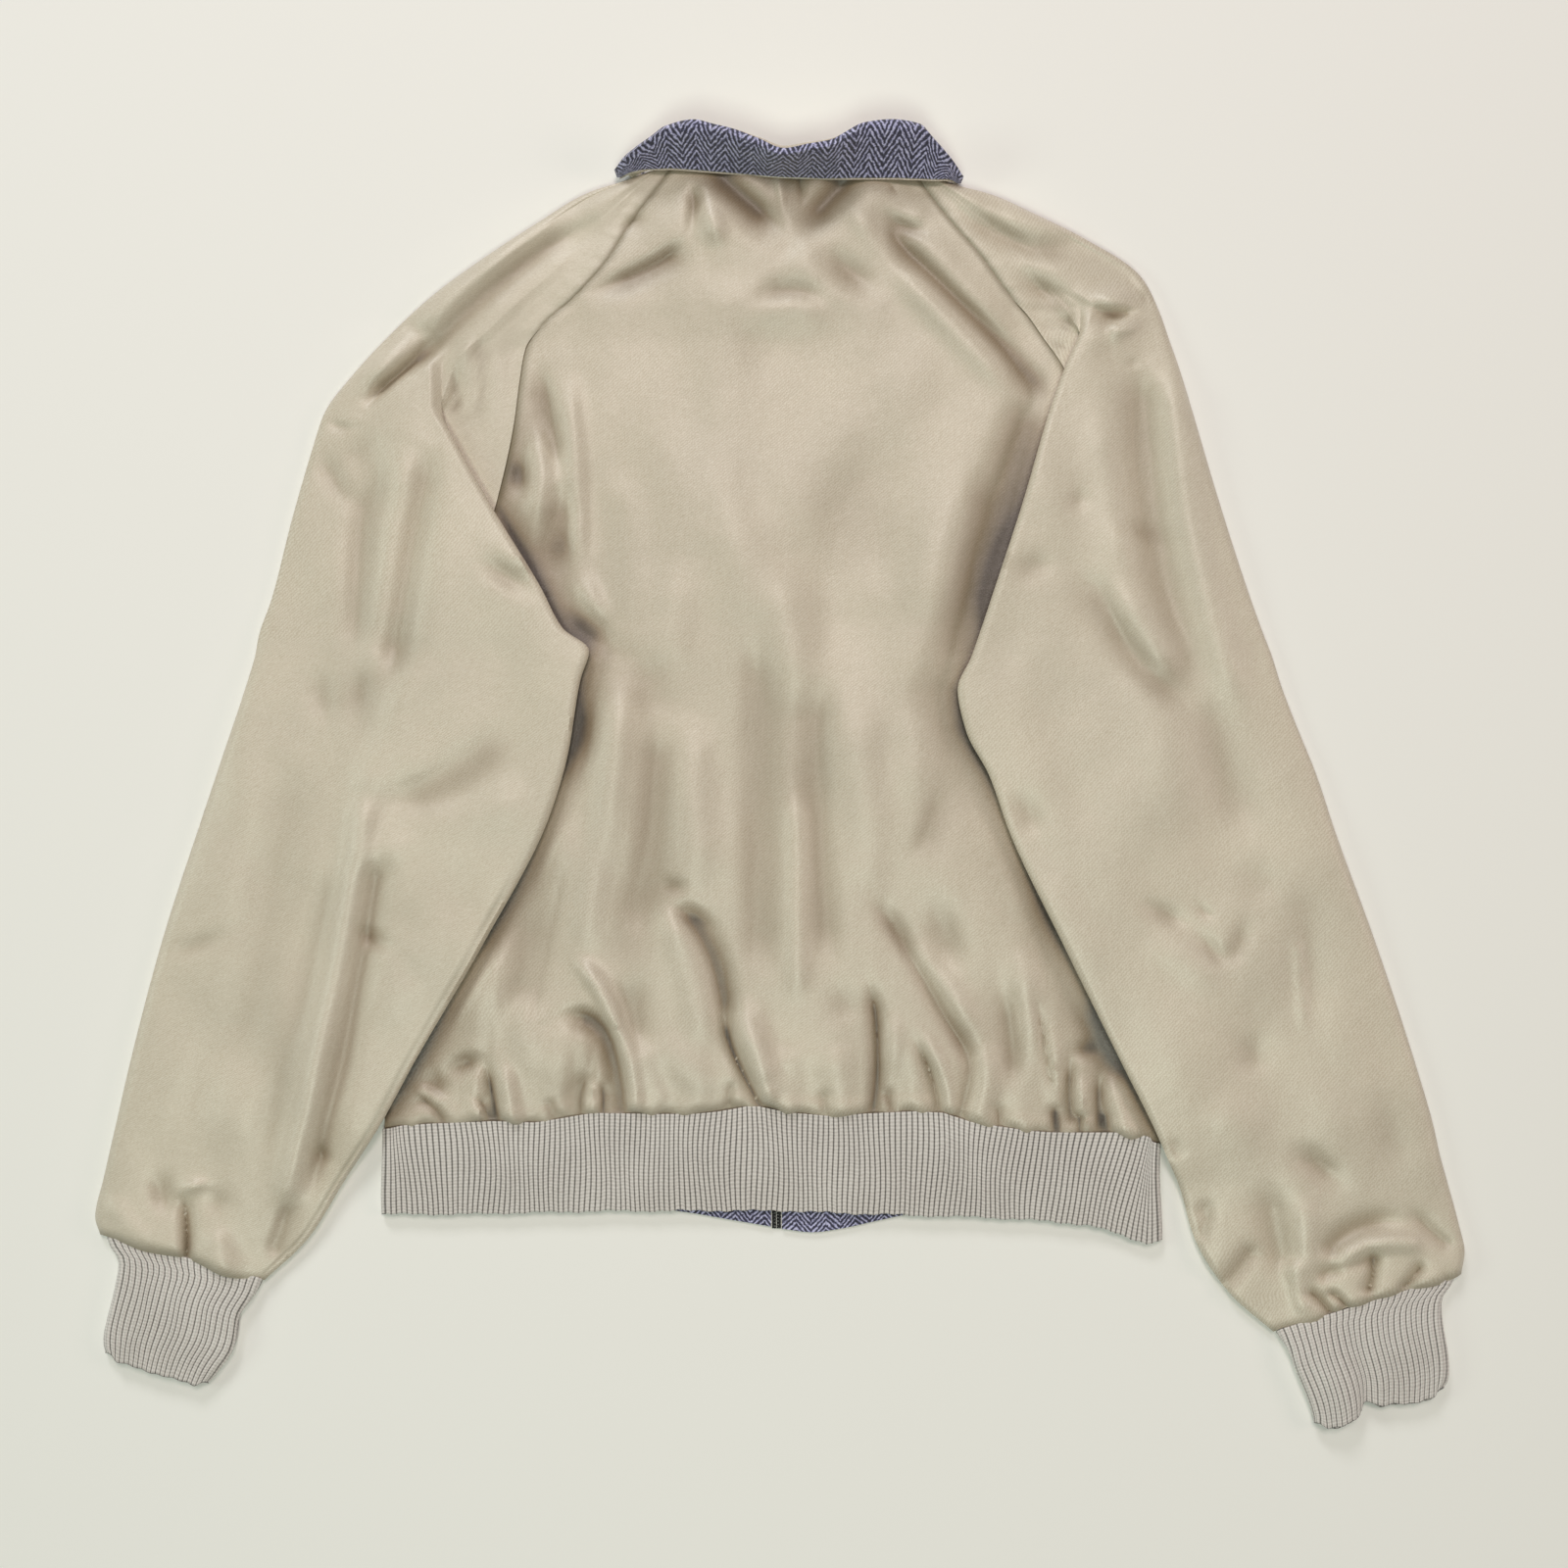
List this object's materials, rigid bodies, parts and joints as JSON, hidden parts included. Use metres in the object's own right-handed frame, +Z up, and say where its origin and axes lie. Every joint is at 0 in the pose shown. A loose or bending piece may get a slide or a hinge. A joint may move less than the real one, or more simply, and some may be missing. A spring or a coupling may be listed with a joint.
{
  "type": "bomber jacket",
  "caption": "Reversible blouson laid flat on its front: tan twill back and raglan sleeves, turned-down grey tweed collar, ribbed hem band and cuffs, zip front below.",
  "frame": {"origin": "middle of the underside of the whole jacket's box, on the surface that it lies on", "axes": "+Z up from the surface, +Y towards the collar, +X to the viewer's right, seen from above with the back of the jacket up"},
  "size_m": [0.8476, 0.795, 0.0406],
  "materials": {
    "twill": "tan cotton twill with a satin sheen",
    "tweed": "matte grey herringbone tweed",
    "knit": "matte greige rib knit",
    "zip": "black zip, slightly glossy"
  },
  "bodies": {
    "root": {"back_panel": "twill", "front_left": "twill", "front_right": "twill", "sleeve_left": "twill", "sleeve_right": "twill", "collar_under": "twill", "collar_top": "tweed", "hem_rib": "knit", "cuff_left": "knit", "cuff_right": "knit", "tab_left": "twill", "tab_right": "twill", "tab_facing_left": "tweed", "tab_facing_right": "tweed", "zip_left": "zip", "zip_right": "zip", "zip_slider": "zip"}
  },
  "joints": []
}
